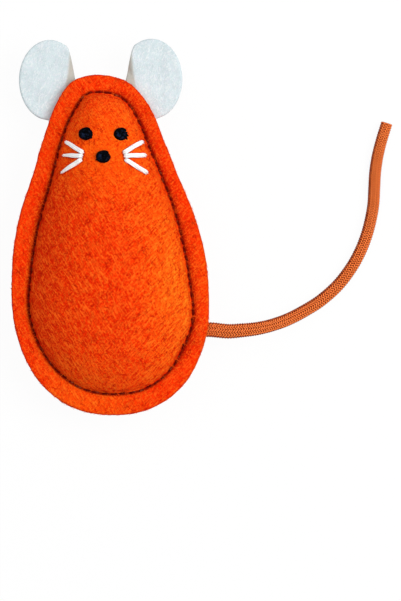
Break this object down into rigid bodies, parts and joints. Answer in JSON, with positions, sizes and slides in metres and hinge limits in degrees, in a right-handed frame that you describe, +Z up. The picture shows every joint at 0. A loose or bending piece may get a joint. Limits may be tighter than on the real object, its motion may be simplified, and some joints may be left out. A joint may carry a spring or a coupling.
{
  "type": "catnip mouse",
  "caption": "Stuffed felt toy mouse for cats: pear-shaped panels with a stitched flange, flapping oval ears, an embroidered face and a braided cord tail, filled with fibre and catnip.",
  "frame": {"origin": "on the table, under the middle of the box round the mouse without its tail", "axes": "+Y from rump to head, along the mouse; +X to the side where the tail comes out; +Z up from the table, the way the face looks"},
  "size_m": [0.1242, 0.1213, 0.031],
  "materials": {
    "orange_felt": "thick wool felt, heathered orange with darker blotches and lighter fibres",
    "ear_felt": "thin pale blue-white felt",
    "tail_cord": "braided rust-coloured cotton cord",
    "seam_thread": "dark brown sewing thread",
    "black_thread": "black embroidery thread with a slight sheen",
    "white_thread": "thick white embroidery thread",
    "fibre": "loose polyester fibre",
    "catnip": "dried crumbled herb"
  },
  "bodies": {
    "body": {"front_panel": "orange_felt", "back_panel": "orange_felt", "front_seam_thread": "seam_thread", "back_seam_thread": "seam_thread", "fibre_stuffing": "fibre", "catnip_filling": "catnip", "left_ear_root": "ear_felt", "right_ear_root": "ear_felt", "tail_root": "tail_cord", "left_eye": "black_thread", "right_eye": "black_thread", "nose": "black_thread", "left_upper_whisker": "white_thread", "left_middle_whisker": "white_thread", "left_lower_whisker": "white_thread", "right_upper_whisker": "white_thread", "right_middle_whisker": "white_thread", "right_lower_whisker": "white_thread"},
    "left_ear": {"left_ear": "ear_felt"},
    "right_ear": {"right_ear": "ear_felt"},
    "tail": {"tail": "tail_cord"}
  },
  "joints": [
    {"name": "left_ear_flap", "type": "hinge", "parent": "body", "child": "left_ear", "pos_m": [-0.01764, 0.04252, 0.0135], "axis": [0.5313, 0.8472, 0], "range_deg": [-25, 80], "stiffness_Nm_per_rad": 0.003},
    {"name": "right_ear_flap", "type": "hinge", "parent": "body", "child": "right_ear", "pos_m": [0.01163, 0.0429, 0.0135], "axis": [0.6438, -0.7652, 0], "range_deg": [-25, 80], "stiffness_Nm_per_rad": 0.003},
    {"name": "tail_swing", "type": "hinge", "parent": "body", "child": "tail", "pos_m": [0.03345, -0.0333, 0.0135], "axis": [0, 0, 1], "range_deg": [-80, 35]}
  ]
}
